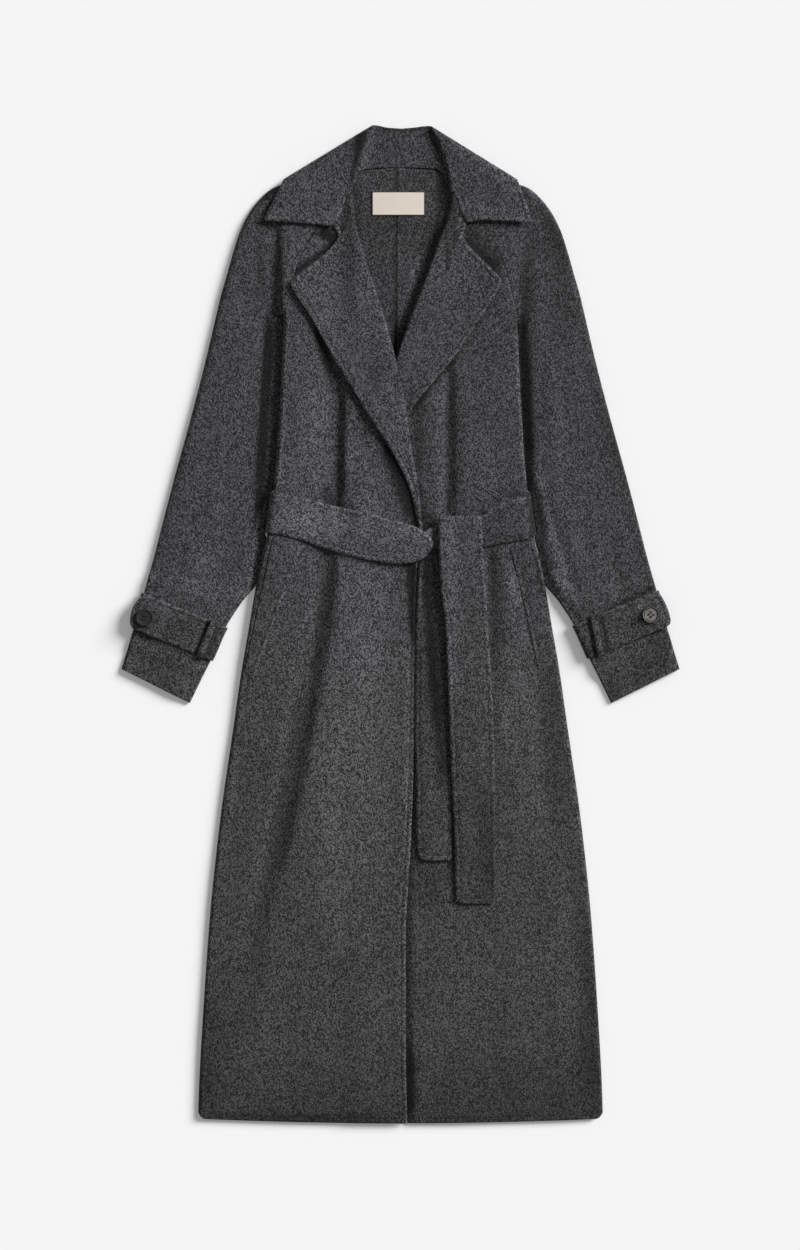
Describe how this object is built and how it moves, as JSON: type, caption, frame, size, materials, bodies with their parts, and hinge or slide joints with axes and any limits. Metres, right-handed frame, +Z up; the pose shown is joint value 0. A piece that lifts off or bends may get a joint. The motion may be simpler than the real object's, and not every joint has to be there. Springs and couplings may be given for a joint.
{
  "type": "wrap coat",
  "caption": "Long belted wrap coat laid flat on its back, with notched lapels, raglan sleeves, buttoned cuff straps and slanted welt pockets.",
  "frame": {"origin": "on the surface that the coat lies on, under the middle of its box", "axes": "+X towards the coat's right side as seen from above, +Y towards the collar, +Z up from the surface"},
  "size_m": [0.7158, 1.2785, 0.0203],
  "materials": {
    "charcoal_wool": "melange wool cloth with a short nap",
    "dark_horn": "polished, dished",
    "cream_satin": "satin"
  },
  "bodies": {
    "root": {"back_left": "charcoal_wool", "back_right": "charcoal_wool", "front_left": "charcoal_wool", "front_right": "charcoal_wool", "sleeve_left": "charcoal_wool", "sleeve_right": "charcoal_wool", "collar": "charcoal_wool", "welt_left": "charcoal_wool", "welt_right": "charcoal_wool", "belt_waist_left": "charcoal_wool", "belt_waist_right": "charcoal_wool", "belt_back": "charcoal_wool", "belt_knot": "charcoal_wool", "belt_end_long": "charcoal_wool", "belt_end_short": "charcoal_wool", "strap_left": "charcoal_wool", "strap_right": "charcoal_wool", "strap_loop_left": "charcoal_wool", "strap_loop_right": "charcoal_wool", "button_left": "dark_horn", "button_right": "dark_horn", "neck_label": "cream_satin"}
  },
  "joints": []
}
